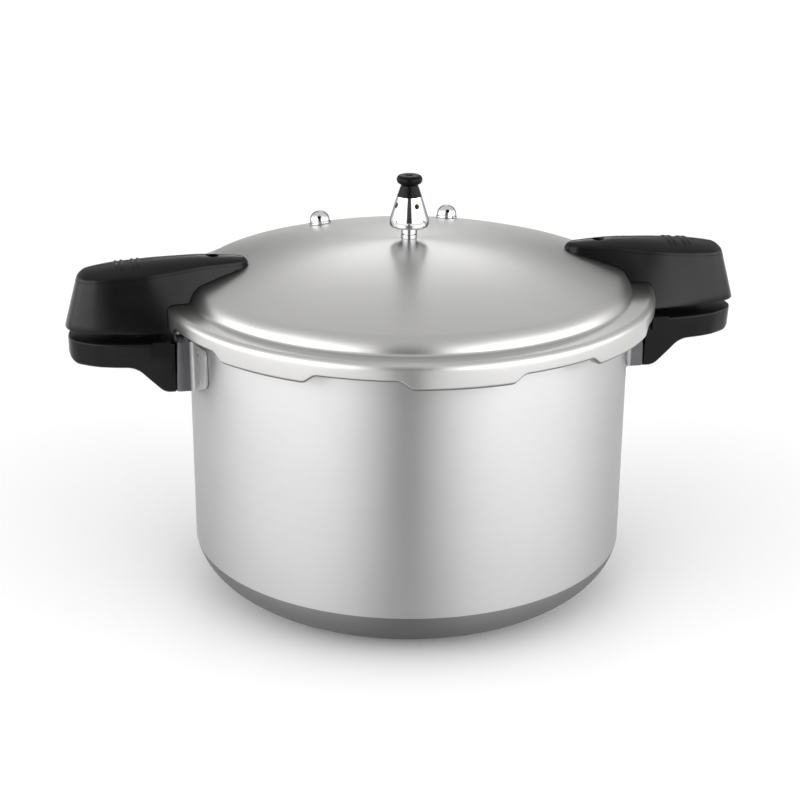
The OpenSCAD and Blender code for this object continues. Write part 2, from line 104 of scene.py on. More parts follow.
SCREW_HOLE = 2.5 * MM
RIVET_HOLE = 2.35 * MM
SCREW_Y = 12  # millimetres to each side of the grip's middle
HALF_TURN = Matrix.Rotation(math.pi, 4, "Z")


# ---------------------------------------------------------------- mesh tools


def arc(centre, radius, start, end, count):
    """Points of an arc in a half plane, angles in degrees."""
    turns = np.radians(np.linspace(start, end, count + 1))
    return [(centre[0] + radius * math.cos(t), centre[1] + radius * math.sin(t)) for t in turns]


def smooth(low, high, value):
    """0 below low, 1 above high, and a smooth step between them."""
    t = min(max((value - low) / (high - low), 0.0), 1.0)
    return t * t * (3 - 2 * t)


def curve_through(stations, x):
    """The value at x of a monotone curve through (x, value) stations."""
    xs = np.array([s[0] for s in stations], float)
    ys = np.array([s[1] for s in stations], float)
    step = np.diff(xs)
    slope = np.diff(ys) / step
    tangent = np.zeros_like(ys)
    tangent[0], tangent[-1] = slope[0], slope[-1]
    for i in range(1, len(xs) - 1):
        if slope[i - 1] * slope[i] > 0:
            tangent[i] = 2 * slope[i - 1] * slope[i] / (slope[i - 1] + slope[i])
    x = min(max(x, xs[0]), xs[-1])
    i = int(min(max(np.searchsorted(xs, x) - 1, 0), len(xs) - 2))
    t = (x - xs[i]) / step[i]
    return float(
        ys[i] * (1 + 2 * t) * (1 - t) ** 2
        + ys[i + 1] * t * t * (3 - 2 * t)
        + step[i] * (tangent[i] * t * (1 - t) ** 2 - tangent[i + 1] * t * t * (1 - t))
    )


def piece(name, vertices, faces, sharp=35):
    """A mesh object with outward normals, smooth but for edges over the sharp angle."""
    mesh = bpy.data.meshes.new(name)
    mesh.from_pydata([tuple(v) for v in vertices], [], faces)
    obj = bpy.data.objects.new(name, mesh)
    bpy.context.scene.collection.objects.link(obj)
    tidy(obj, sharp)
    return obj


def tidy(obj, sharp=35):
    """Merges doubled points, turns the normals outwards and marks the edges over the sharp angle."""
    bm = bmesh.new()
    bm.from_mesh(obj.data)
    bmesh.ops.remove_doubles(bm, verts=bm.verts, dist=1e-6)
    bmesh.ops.dissolve_degenerate(bm, edges=bm.edges, dist=1e-7)
    bmesh.ops.recalc_face_normals(bm, faces=bm.faces)
    bm.to_mesh(obj.data)
    bm.free()
    obj.data.shade_smooth()
    obj.data.set_sharp_from_angle(angle=math.radians(sharp))


def grid(name, rows, closed_rows=True, closed_columns=True, caps=False, sharp=35):
    """Quads between rows of points. closed_columns joins each row's ends, closed_rows the last row
    to the first."""
    count, width = len(rows), len(rows[0])
    vertices = [p for row in rows for p in row]
    faces = []
    for i in range(count if closed_rows else count - 1):
        for j in range(width if closed_columns else width - 1):
            k, m = (i + 1) % count, (j + 1) % width
            faces.append((i * width + j, i * width + m, k * width + m, k * width + j))
    if caps:
        faces.append(tuple(range(width)))
        faces.append(tuple((count - 1) * width + j for j in reversed(range(width))))
    return piece(name, vertices, faces, sharp)


def full_turn(steps):
    return [2 * math.pi * i / steps for i in range(steps)]


def revolve(name, section, steps, sharp=35):
    """Revolves section(angle), a list of (r, z), about Z. One that starts on the axis gets poles there."""
    rows = [[(r * math.cos(t), r * math.sin(t), z) for r, z in section(t)] for t in full_turn(steps)]
    columns = [list(c) for c in zip(*rows)]
    on_axis = abs(section(0)[0][0]) < 1e-9
    return grid(name, columns, closed_rows=not on_axis, sharp=sharp)


def lathe(name, profile, steps=96, sharp=35):
    return revolve(name, lambda t: profile, steps, sharp)


def cut(obj, *tools, sharp=35, operation="DIFFERENCE"):
    """Takes the tools away from obj, or joins them to it, and removes them."""
    for tool in tools:
        modifier = obj.modifiers.new("cut", "BOOLEAN")
        modifier.operation = operation
        modifier.solver = "EXACT"
        modifier.object = tool
    depsgraph = bpy.context.evaluated_depsgraph_get()
    mesh = bpy.data.meshes.new_from_object(obj.evaluated_get(depsgraph))
    obj.modifiers.clear()
    old = obj.data
    obj.data = mesh
    bpy.data.meshes.remove(old)
    mesh.name = obj.name
    for tool in tools:
        bpy.data.meshes.remove(tool.data)
    tidy(obj, sharp)
    return obj


def drill(radius, length, place, steps=32):
    """A cutting cylinder centred at place, a matrix whose Z is the cylinder's axis."""
    half = length / 2
    tool = lathe("tool", [(0, -half), (radius, -half), (radius, half), (0, half)], steps)
    return moved(tool, place)


def block(low, high):
    """A cutting box."""
    xs, ys, zs = zip(low, high)
    corners = [(x, y, z) for x in xs for y in ys for z in zs]
    faces = [(0, 1, 3, 2), (4, 6, 7, 5), (0, 4, 5, 1), (2, 3, 7, 6), (0, 2, 6, 4), (1, 5, 7, 3)]
    return piece("tool", corners, faces)


def on_dome(radius, angle):
    """The place on the dome at that radius and angle in degrees, with Z along the dome's normal."""
    tilt = math.asin(radius / DOME_R)
    return (
        Matrix.Rotation(math.radians(angle), 4, "Z")
        @ Matrix.Translation((0, 0, DOME_C))
        @ Matrix.Rotation(tilt, 4, "Y")
        @ Matrix.Translation((0, 0, DOME_R))
    )


def along_x(x, y, z):
    """The place at x, y, z with its Z along X."""
    return Matrix.Translation((x, y, z)) @ Matrix.Rotation(math.pi / 2, 4, "Y")


def moved(obj, place):
    obj.data.transform(place)
    return obj


def turned(obj, side):
    """A piece made for the right side, turned to its own side."""
    return moved(obj, HALF_TURN) if side == "left" else obj


# ---------------------------------------------------------------- materials


class Shader:
    """A new material with short ways to add and join its nodes."""

    def __init__(self, name, **values):
        self.material = bpy.data.materials.new(name)
        self.material.use_nodes = True
        self.tree = self.material.node_tree
        self.surface = self.tree.nodes["Principled BSDF"]
        for key, value in values.items():
            self.surface.inputs[key.replace("_", " ")].default_value = value
        self.coordinates = self.tree.nodes.new("ShaderNodeTexCoord").outputs["Object"]

    def node(self, kind, inputs=(), **settings):
        made = self.tree.nodes.new(kind)
        for key, value in settings.items():
            setattr(made, key, value)
        for key, value in dict(inputs).items():
            if isinstance(value, bpy.types.NodeSocket):
                self.tree.links.new(value, made.inputs[key])
            else:
                made.inputs[key].default_value = value
        return made

    def stretched(self, factors):
        """The object's coordinates, each times its factor."""
        inputs = {0: self.coordinates, 1: factors}
        return self.node("ShaderNodeVectorMath", inputs, operation="MULTIPLY").outputs[0]

    def noise(self, source, scale, detail=2.0, roughness=0.5):
        inputs = {"Vector": source, "Scale": scale, "Detail": detail, "Roughness": roughness}
        return self.node("ShaderNodeTexNoise", inputs).outputs["Fac"]

    def map(self, value, start, end, low, high):
        """Maps start to end onto low to high, and stays at low or high beyond."""
        limits = {"Value": value, "From Min": start, "From Max": end, "To Min": low, "To Max": high}
        return self.node("ShaderNodeMapRange", limits).outputs["Result"]

    def spread(self, source, low, high):
        """Maps 0.3 to 0.7, where noise mostly lies, onto low to high."""
        return self.map(source, 0.3, 0.7, low, high)

    def math(self, operation, first, second):
        return self.node("ShaderNodeMath", {0: first, 1: second}, operation=operation).outputs[0]

    def scale(self, colour, factor):
        return self.node("ShaderNodeVectorMath", {0: colour, 3: factor}, operation="SCALE").outputs[0]

    def parts(self, vector):
        """X, Y and Z of a vector."""
        return self.node("ShaderNodeSeparateXYZ", {0: vector}).outputs

    def ramp(self, source, *stops):
        made = self.node("ShaderNodeValToRGB", {"Fac": source})
        elements = made.color_ramp.elements
        while len(elements) < len(stops):
            elements.new(0.5)
        for element, (position, colour) in zip(elements, stops):
            element.position = position
            element.color = (*colour, 1)
        return made.outputs["Color"]

    def mottled(self, source, colour, darkest):
        """The colour, down to its darkest share where the noise is low."""
        low = tuple(c * darkest for c in colour)
        return self.ramp(self.spread(source, 0, 1), (0, low), (1, colour))

    def join(self, source, key):
        self.tree.links.new(source, self.surface.inputs[key])

    def bump(self, height, depth, strength=1.0):
        made = self.node("ShaderNodeBump", {"Height": height, "Distance": depth, "Strength": strength})
        self.join(made.outputs["Normal"], "Normal")

    def radius(self):
        """Distance from the Z axis."""
        flat = self.stretched((1, 1, 0))
        return self.node("ShaderNodeVectorMath", {0: flat}, operation="LENGTH").outputs["Value"]


def pot_painted_shade(s):
    """Painted shade: the base below the crease is much darker, and the wall gets a little darker towards the
    crease.
    """
    height = s.parts(s.coordinates)["Z"]
    base = s.map(height, 0, CREASE_Z, 0.14, 0.32)
    wall = s.map(height, CREASE_Z, RIM_Z, 0.78, 1.02)
    return s.math("MAXIMUM", base, s.math("MULTIPLY", s.math("GREATER_THAN", height, CREASE_Z), wall))


def lid_painted_shade_and_highlight(s):
    """Painted shade and highlight: the lid's outer edge is darker where it faces down, and its skirt is a
    little brighter.
    """
    down = s.parts(s.node("ShaderNodeNewGeometry").outputs["Normal"])["Z"]
    edge = s.map(down, -0.5, -0.15, 0.3, 1.0)
    inner = s.math("LESS_THAN", s.radius(), BODY_R + 10 * MM)
    painted_skirt_highlight = s.map(s.radius(), SKIRT_R - 5 * MM, SKIRT_R - MM, 1, 1.1)
    return s.math("MULTIPLY", s.math("MAXIMUM", edge, inner), painted_skirt_highlight)


def turned_metal(name, colour, roughness, anisotropy, painted_light):
    """Metal with fine lines around Z and a slight mottling. The function passed last gives the factor of
    painted shade and highlight that scales its colour.
    """
    lines_per_metre = 900
    uneven = 0.03
    s = Shader(name, Metallic=1.0, Roughness=roughness, Anisotropic=anisotropy, Anisotropic_Rotation=0.25)
    s.join(s.node("ShaderNodeTangent", direction_type="RADIAL", axis="Z").outputs[0], "Tangent")
    place = s.parts(s.coordinates)
    profile = s.math("MULTIPLY", s.math("SUBTRACT", s.radius(), place["Z"]), lines_per_metre)
    around = s.node("ShaderNodeCombineXYZ", {"X": place["X"], "Y": place["Y"], "Z": profile}).outputs[0]
    fine = s.noise(around, 3.0, 3.0, 0.65)
    s.join(s.spread(fine, roughness - uneven, roughness + uneven), "Roughness")
    tone = s.mottled(s.noise(s.coordinates, 9.0, 3.0), colour, 0.95)
    # The mottled tone times the painted shade and highlight
    s.join(s.scale(tone, painted_light(s)), "Base Color")
    s.bump(fine, 0.02 * MM, 0.25)
    return s.material


def moulding(name, colour, roughness, gloss):
    """Black phenolic: fine moulded grain, faint flow marks and slightly uneven gloss."""
    s = Shader(name, Roughness=roughness, Specular_IOR_Level=gloss)
    grain = s.noise(s.coordinates, 2600.0, 2.0)
    flow = s.noise(s.stretched((1, 1, 2.5)), 22.0, 3.0)
    lighter = tuple(c * 1.6 + 0.001 for c in colour)
    s.join(s.ramp(s.spread(flow, 0, 1), (0, colour), (1, lighter)), "Base Color")
    s.join(s.spread(flow, roughness - 0.02, roughness + 0.02), "Roughness")
    s.bump(grain, 0.03 * MM, 0.35)
    return s.material


def plated(name, colour, roughness, rim=1.0):
    """Polished or plated metal with faint smears. Below 1, rim darkens it where it turns away."""
    s = Shader(name, Metallic=1.0, Roughness=roughness, Specular_Tint=(rim, rim, rim, 1))
    smear = s.noise(s.coordinates, 130.0, 3.0)
    s.join(s.spread(smear, roughness * 0.7, roughness * 1.5), "Roughness")
    s.join(s.mottled(smear, colour, 0.96), "Base Color")
    return s.material


def rolled_sheet(name, colour, painted_lit_colour, painted_lit_within, roughness):
    """Plated sheet: fine rolling lines and a mottled bloom. Painted light and shade: up to a radius it takes
    a light colour and a higher roughness, beyond it a dark colour.
    """
    lit_part_roughness = 0.5
    s = Shader(name, Metallic=1.0, Roughness=roughness)
    lines = s.noise(s.stretched((40, 40, 1)), 60.0, 2.0)
    bloom = s.noise(s.coordinates, 180.0, 4.0)
    painted_dark_share = s.map(s.radius(), painted_lit_within, painted_lit_within + 1.5 * MM, 0, 1)
    # Painted light up to the radius, painted shade beyond it
    tone = s.ramp(painted_dark_share, (0, painted_lit_colour), (1, colour))
    s.join(s.scale(tone, s.spread(bloom, 0.92, 1)), "Base Color")
    roughness_by_part = s.map(painted_dark_share, 0, 1, lit_part_roughness, roughness)
    s.join(s.math("ADD", roughness_by_part, s.spread(lines, -0.02, 0.03)), "Roughness")
    s.bump(lines, 0.01 * MM, 0.04)
    return s.material


def silicone(name, colour):
    """Soft rubber with a dusty surface."""
    s = Shader(name, Roughness=0.5, Subsurface_Weight=0.15, Subsurface_Scale=2 * MM)
    dust = s.noise(s.coordinates, 300.0, 3.0)
    s.join(s.mottled(dust, colour, 0.92), "Base Color")
    s.bump(dust, 0.05 * MM, 0.2)
    return s.material


MATERIALS = {
    "pot_aluminium": turned_metal("pot_aluminium", (0.56, 0.56, 0.565), 0.5, 0.85, pot_painted_shade),
    "lid_aluminium": turned_metal("lid_aluminium", (0.51, 0.507, 0.5), 0.35, 0.6, lid_painted_shade_and_highlight),
    "rivet_aluminium": plated("rivet_aluminium", (0.72, 0.72, 0.73), 0.35),
    # Painted light where the sheet lies on the pot's wall, painted shade on the rest
    "bracket_steel": rolled_sheet(
        "bracket_steel", (0.13, 0.13, 0.135), (0.5, 0.5, 0.505), BODY_R + 3.5 * MM, 0.26
    ),
    "screw_steel": plated("screw_steel", (0.6, 0.6, 0.62), 0.25),
    "grip_black": moulding("grip_black", (0.0025, 0.0025, 0.0028), 0.25, 0.17),
    "knob_black": moulding("knob_black", (0.002, 0.002, 0.0024), 0.26, 0.1),
    "chrome": plated("chrome", (0.70, 0.70, 0.71), 0.05, 0.12),
    "brass": plated("brass", (0.42, 0.33, 0.18), 0.4),
    "seal_rubber": silicone("seal_rubber", (0.78, 0.78, 0.75)),
}


def finish(obj, slot, body, *replaced):
    """Gives a new piece its material, its body and the CAD nodes that it stands for."""
    obj.data.materials.clear()
    obj.data.materials.append(MATERIALS[slot])
    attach(obj, body)
    if replaced:
        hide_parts(*replaced)
    return obj


def dress_cad_nodes():
    """Every CAD node takes its record slot's material."""
    for row in frame["record"]["subparts"]:
        mesh = nodes[row["node"]].data
        mesh.materials.clear()
        mesh.materials.append(MATERIALS[row["material_slot"]])


# ---------------------------------------------------------------- pot


def corner(wide, low, steps=20):
    """The pot's elliptical lower corner, from its crease down to the flat base."""
    start = math.asin(1 - CREASE_Z / CORNER_B)
    half_width = wide / math.cos(start)
    turns = np.linspace(start, math.pi / 2, steps + 1)
    return [(BASE_R + half_width * math.cos(t), low + CORNER_B * (1 - math.sin(t))) for t in turns]


def lug_share(turn, limits):
    """1 in the middle of a lug, 0 between the lugs, and a smooth step between the limits."""
    pitch = 360 / LUG_COUNT
    away = abs((math.degrees(turn) - LUG_OFFSET + pitch / 2) % pitch - pitch / 2)
    return 1 - smooth(*limits, away)


def pot_section(turn):
    """The pot's wall at an angle: its rim reaches out at the bayonet lugs."""
    rim_r = BODY_R + RIM_FLANGE + (LUG_REACH - RIM_FLANGE) * lug_share(turn, POT_LUG)
    rim_low = RIM_Z - 4 * MM
    round_r = 1 * MM
    lip_r = 0.8 * MM
    # Fine raised rings, turned in the base
    ring = ((-1, 0), (0, 0.25), (1, 0))
    base_rings = [(BASE_R * k / 10 + d * MM, h * MM) for k in range(2, 10, 2) for d, h in ring]
    outside = [(0, 0)] + base_rings + corner(BODY_R - BASE_R, 0)[::-1]
    rim = [(BODY_R, RIM_Z - 8 * MM), (BODY_R, rim_low - 2 * MM)]
    rim += arc((rim_r - round_r, rim_low + round_r), round_r, -90, 0, 4)
    rim += arc((rim_r - round_r, RIM_Z - round_r), round_r, 0, 90, 4)
    rim += arc((BODY_R - SHEET + lip_r, RIM_Z - lip_r), lip_r, 90, 180, 4)
    inside = corner(BODY_R - SHEET - BASE_R, FLOOR_T)
    return outside + rim + inside + [(0, FLOOR_T)]


def build_pot():
    finish(revolve("pot", pot_section, 480, sharp=24), "pot_aluminium", "pot", "pot_body")


# ---------------------------------------------------------------- lid


def lid_top(offset):
    """The lid's outside from the axis to the top of its skirt, moved outwards by offset."""
    shoulder = 14 * MM
    valley = 2.5 * MM
    edge = 4.5 * MM
    valley_centre = (BODY_R + 3 * MM, LEDGE_Z + valley)
    rise = valley_centre[1] - DOME_C
    far = math.hypot(valley_centre[0], rise)
    reach = DOME_R - shoulder
    # The shoulder touches the dome inside and the valley outside
    swing = math.acos((reach**2 + far**2 - (shoulder + valley) ** 2) / (2 * reach * far))
    lean = math.atan2(rise, valley_centre[0]) + swing
    centre = (reach * math.cos(lean), DOME_C + reach * math.sin(lean))
    turn = math.degrees(math.atan2(valley_centre[1] - centre[1], valley_centre[0] - centre[0]))
    lean = math.degrees(lean)
    return (
        arc((0, DOME_C), DOME_R + offset, 90, lean, 24)
        + arc(centre, shoulder + offset, lean, turn, 12)
        + arc(valley_centre, valley - offset, 180 + turn, 270, 6)
        + arc((SKIRT_R - edge, LEDGE_Z - edge), edge + offset, 90, 0, 7)
    )


def lid_section(turn):
    """The lid's sheet at an angle: its skirt hangs lower and turns inwards at the lugs."""
    lip = lug_share(turn, LIP)
    low = SKIRT_Z + (LIP_Z - SKIRT_Z) * lug_share(turn, LID_LUG)
    edge_r = (2.3 + 0.7 * lip) * MM
    inner = SKIRT_R - SHEET
    lip_in = inner - (inner - BODY_R - 6.2 * MM) * lip
    lip_t = 3.2 * MM
    chamfer = 0.5 * MM
    outside = [p for p in lid_top(0) if p[0] > PORT_R]
    lining = [p for p in lid_top(-SHEET) if p[0] > PORT_R]
    edge = [(SKIRT_R, (LEDGE_Z + SKIRT_Z) / 2)] + arc((SKIRT_R - edge_r, low + edge_r), edge_r, 0, -90, 8)
    lower = [
        (lip_in + chamfer, low), (lip_in, low + chamfer), (lip_in, low + lip_t - chamfer),
        (lip_in + chamfer * lip, low + lip_t), (inner, low + lip_t + 0.01 * MM),
    ]
    return [(PORT_R, APEX_Z)] + outside + edge + lower + lining[::-1] + [(PORT_R, APEX_Z - SHEET)]


def build_lid():
    depth = 20 * MM
    holes = [drill(PORT_R, depth, on_dome(RELIEF_R, RELIEF_MID + side * RELIEF_A)) for side in (-1, 1)]
    holes.append(drill(NOSE_HOLE + FIT, depth, on_dome(NOSE_HOLE_R, 180)))
    lid = cut(revolve("lid_pressing", lid_section, 720, sharp=30), *holes, sharp=30)
    finish(lid, "lid_aluminium", "lid", "lid")


# ---------------------------------------------------------------- lid grips

# Distance from the axis, half width, height of the edge and rise of the crown over it, in millimetres
GRIP_TOP = [
    (117, 0, 249.6, 0), (118.5, 4, 249.8, 1.2), (124, 8.5, 250.6, 2.2), (145, 13, 250.5, 3.6),
    (170, 17, 248.3, 5.6), (190, 19.5, 246.5, 6.4), (208, 19.5, 245.3, 6.2), (222, 17.5, 244.3, 5.4),
    (230, 14, 243.7, 4.4), (235, 8.5, 243.3, 2.6), (237, 0, 243.0, 0),
]
# Distance from the axis and half width at the lower edge
GRIP_FOOT = [
    (104, 0), (108, 12), (145, 26), (176, 31.5), (186, 31), (207, 28.2), (226, 24), (238, 18.5),
    (243.5, 13.5), (246.3, 6.5), (247, 0),
]
GRIP_LOW = 207.0
GRIP_COLUMNS = 120
GRIP_EDGE = 1.3
GRIP_GROOVE = 0.45
GRIP_FOOT_EDGE = 1.2
# Where the spine, the groove's inward direction and the lower face's middle line may lie along X
GRIP_SPINE = (GRIP_TOP[0][0] + 5, GRIP_TOP[-1][0] - 9)
GRIP_HEART = (128, 226)
GRIP_CENTRE = (120, 232)
# Each raised bar on a grip's back: distance from the axis, half length and half width
GRIP_BARS = [(194.0, 13.0, 1.3), (198.0, 13.5, 1.3), (205.5, 13.0, 1.3), (209.5, 12.0, 1.3)]


def outline(stations, columns, column):
    """Place along a pointed-end outline: columns run from the nose along one side to the end."""
    first, last = stations[0][0], stations[-1][0]
    x = first + (last - first) * (1 - math.cos(math.pi * column / columns)) / 2
    return x, half_width(stations, x)


def within(limits, value):
    return min(max(value, limits[0]), limits[1])


def grip_edge(x):
    """Height of the grip's upper edge at x, and the rise of its crown over the edge."""
    return tuple(curve_through([(s[0], s[k]) for s in GRIP_TOP], x) for k in (2, 3))


def half_width(stations, x):
    """Half width at x. The ends are round: the square of the width is what varies smoothly."""
    return math.sqrt(max(curve_through([(s[0], s[1] ** 2) for s in stations], x), 0.0))


def between(a, b, t):
    return tuple(p + (q - p) * t for p, q in zip(a, b))


def bend(a, corner_point, b, t):
    """Quadratic curve from a to b, pulled towards the corner."""
    return between(between(a, corner_point, t), between(corner_point, b, t), t)


def grip_column(column):
    """Points at one place of the outline: from the lower face's middle, up the side, to the spine."""
    x, width = outline(GRIP_TOP, GRIP_COLUMNS, column)
    edge_z, _ = grip_edge(x)
    foot_x, foot_width = outline(GRIP_FOOT, GRIP_COLUMNS, column)
    edge = (x, width, edge_z)
    foot = (foot_x, foot_width, GRIP_LOW)
    spine_x = within(GRIP_SPINE, x)
    spine = (spine_x, 0, sum(grip_edge(spine_x)))
    centre = (within(GRIP_CENTRE, foot_x), 0, GRIP_LOW)
    height = edge_z - GRIP_LOW
    inward = Vector((within(GRIP_HEART, x) - x, -width, 0)).normalized() * GRIP_GROOVE

    def crown(t):
        x, y, _ = between(edge, spine, t)
        return (x, y, edge_z + (spine[2] - edge_z) * (1 - (1 - t) ** 2))

    def side(depth):
        """On the side, that far below the edge."""
        return between(edge, foot, depth / height)

    def sunk(depth):
        x, y, z = side(depth)
        return (x + inward.x, y + inward.y, z)

    down = side(GRIP_EDGE)
    inwards = min(GRIP_EDGE / max(math.dist(edge, spine), 1e-6), 0.5)
    foot_up = between(foot, edge, GRIP_FOOT_EDGE / height)
    foot_in = between(foot, centre, GRIP_FOOT_EDGE / max(math.dist(foot, centre), 2 * GRIP_FOOT_EDGE))
    groove_low = side(GRIP_EDGE + 1.3)
    points = [centre, between(centre, foot_in, 0.5), foot_in]
    points += [bend(foot_in, foot, foot_up, t) for t in (0.33, 0.67)]
    points += [between(foot_up, groove_low, k / 8) for k in range(9)]
    points += [sunk(GRIP_EDGE + 1.2), sunk(GRIP_EDGE + 0.4), side(GRIP_EDGE + 0.3), down]
    points += [bend(down, edge, crown(inwards), t) for t in (0.2, 0.4, 0.6, 0.8)]
    points += [crown(inwards + (1 - inwards) * (k / 10)) for k in range(11)]
    return [tuple(v * MM for v in p) for p in points]


def crown_height(x, y):
    """Height of the grip's back at x, y."""
    edge_z, rise = grip_edge(x)
    half = curve_through([(s[0], s[1]) for s in GRIP_TOP], x)
    return edge_z + rise * (1 - min(abs(y) / half, 1) ** 2)


def grip_bar(x, half, radius):
    """A raised bar across the grip's back, half sunk in it, with tapered ends."""
    ring = [(math.cos(t), math.sin(t)) for t in full_turn(16)]
    flatness = 0.55
    rows = []
    for y in np.linspace(-half, half, 17):
        swell = radius * math.sqrt(max(1 - (abs(y) / half) ** 6, 0.01))
        middle = crown_height(x, y)
        rows.append([((x + swell * a) * MM, y * MM, (middle + flatness * swell * b) * MM) for a, b in ring])
    return grid("tool", rows, closed_rows=False, caps=True)


def lid_grip(name):
    """The shell of a grip: its outside less the lid, the bracket's channel, a cavity and the nose hole."""
    clearance = 0.5 * MM
    below = 20 * MM
    near = [grip_column(c) for c in range(GRIP_COLUMNS + 1)]
    far = [[(x, -y, z) for x, y, z in near[c]] for c in range(GRIP_COLUMNS - 1, 0, -1)]
    grip = grid(name, near + far, closed_columns=False, sharp=50)
    low = GRIP_LOW * MM
    room = [(0, low - below), (SKIRT_R + clearance, low - below)] + lid_top(clearance)[::-1]
    envelope = revolve("tool", lambda t: room, 240)
    channel = block((-17.5 * MM, -7.3 * MM, -6 * MM), (17.5 * MM, 7.3 * MM, 3.5 * MM))
    moved(channel, on_dome(137.5 * MM, 0))
    cavity = block((150 * MM, -13 * MM, low - MM), (226 * MM, 13 * MM, 240.8 * MM))
    hole = drill(NOSE_HOLE, 2 * below, on_dome(NOSE_HOLE_R, 0), 48)
    cut(grip, *[grip_bar(*bar) for bar in GRIP_BARS], operation="UNION")
    return cut(grip, envelope, channel, cavity, hole, sharp=40)


def build_lid_grips():
    for side in ("left", "right"):
        grip = turned(lid_grip(side + "_lid_grip"), side)
        finish(grip, "grip_black", "lid", side + "_lid_handle")


# ---------------------------------------------------------------- pot grips

POT_GRIP_X0 = 172.3
POT_GRIP_TOP = 200.5
POT_GRIP_LOW = 182.4
POT_GRIP_ROOT = 162.4
POT_GRIP_CORNER = 7.5
POT_GRIP_DRAFT = 0.1
# Distance from the axis and half width
POT_GRIP_PLAN = [
    (172.3, 32.0), (186, 33.0), (207, 31.0), (224, 26.5), (234, 20.5), (240, 15.5), (243.8, 9.5),
    (245.3, 0),
]


def pot_grip_floor(x):
    """Height of the pot grip's underside at x: a low root, an S curve and a flat finger rest."""
    slope = math.radians(48)
    root_end = 175.5
    out_r, in_r, knee = 10.0, 16.0, 206.0
    low = POT_GRIP_ROOT
    if x <= root_end:
        return low
    if x <= root_end + out_r * math.sin(slope):
        return low + out_r - math.sqrt(out_r**2 - (x - root_end) ** 2)
    start = knee - in_r * math.sin(slope)
    if x >= knee:
        return POT_GRIP_LOW
    if x >= start:
        return POT_GRIP_LOW - in_r + math.sqrt(in_r**2 - (knee - x) ** 2)
    x1, z1 = root_end + out_r * math.sin(slope), low + out_r * (1 - math.cos(slope))
    z2 = POT_GRIP_LOW - in_r * (1 - math.cos(slope))
    return z1 + (z2 - z1) * (x - x1) / (start - x1)


def pot_grip(name):
    """A loft of cross sections square to X, with rounded edges."""
    tip_r, crisp_r, soft_r = 1.5, 1.4, 2.2
    end = POT_GRIP_PLAN[-1][0]
    stations = [POT_GRIP_X0 + (end - POT_GRIP_X0) * math.sin(math.radians(k)) for k in range(90)]
    stations += [end - 0.02]
    rows = []
    for x in stations:
        width = half_width(POT_GRIP_PLAN, x)
        low = pot_grip_floor(x)
        low += POT_GRIP_CORNER - math.sqrt(POT_GRIP_CORNER**2 - max(x - end + POT_GRIP_CORNER, 0) ** 2)
        top = POT_GRIP_TOP - (tip_r - math.sqrt(tip_r**2 - max(x - end + tip_r, 0) ** 2))
        largest = min(width * 0.45, (top - low) * 0.3)
        soft, crisp = min(soft_r, largest), min(crisp_r, largest)
        foot = max(width - POT_GRIP_DRAFT * (top - low), width * 0.6)
        half = arc((width - crisp, top - crisp), crisp, 90, 0, 5)
        half += arc((foot - soft, low + soft), soft, 0, -90, 6)
        row = half + [(-y, z) for y, z in half[::-1]]
        rows.append([(x * MM, y * MM, z * MM) for y, z in row])
    grip = grid(name, rows, closed_rows=False, caps=True, sharp=50)
    tools = []
    for side in (-1, 1):
        tools.append(drill(SCREW_HOLE, 32 * MM, along_x(POT_GRIP_X0 * MM, side * SCREW_Y * MM, 180 * MM)))
        # A notch in the upper edge
        near, far = sorted((side * 32, side * 36))
        first = ((POT_GRIP_X0 + 3) * MM, near * MM, (POT_GRIP_TOP - 8) * MM)
        last = ((POT_GRIP_X0 + 15) * MM, far * MM, (POT_GRIP_TOP + 2) * MM)
        tools.append(block(first, last))
    return cut(grip, *tools, sharp=45)


def build_pot_grips():
    for side in ("left", "right"):
        grip = turned(pot_grip(side + "_pot_grip"), side)
        finish(grip, "grip_black", "pot", side + "_pot_handle")


# ---------------------------------------------------------------- pot brackets

BRACKET_X = 172.2
BRACKET_T = 2.0
BRACKET_HALF = 30.0
BRACKET_BAND = 0.2
BRACKET_BEND = 1.2
# Degrees: from the grip's middle to a wing's end, the slope of a wing's lower edge, and a rivet's place
WING_END = 19.3
WING_SLOPE = 24
RIVET_A = 15


def bracket_path():
    """Plan of the bracket's middle line from one wing's end to the grip's middle, with round bends."""
    mid = BODY_R / MM + BRACKET_BAND + BRACKET_T / 2
    wall_y = BRACKET_HALF - BRACKET_T / 2
    front_x = BRACKET_X - BRACKET_T / 2
    bend_r = BRACKET_BEND + BRACKET_T / 2
    inner = math.degrees(math.asin((wall_y + bend_r) / mid))
    wing = [(mid * math.cos(t), mid * math.sin(t)) for t in np.radians(np.linspace(WING_END, inner, 14))]
    foot_x, foot_y = wing[-1]
    fold = ((foot_x, foot_y), (foot_x + 0.4, wall_y), (foot_x + bend_r, wall_y))
    first = [bend(*fold, t) for t in (0.25, 0.5, 0.75, 1)]
    wall = [(x, wall_y) for x in np.linspace(foot_x + bend_r + 1, front_x - bend_r, 4)]
    second = arc((front_x - bend_r, wall_y - bend_r), bend_r, 90, 0, 5)[1:]
    return wing + first + wall + second + [(front_x, y) for y in np.linspace(wall_y - bend_r - 1, 0, 12)]


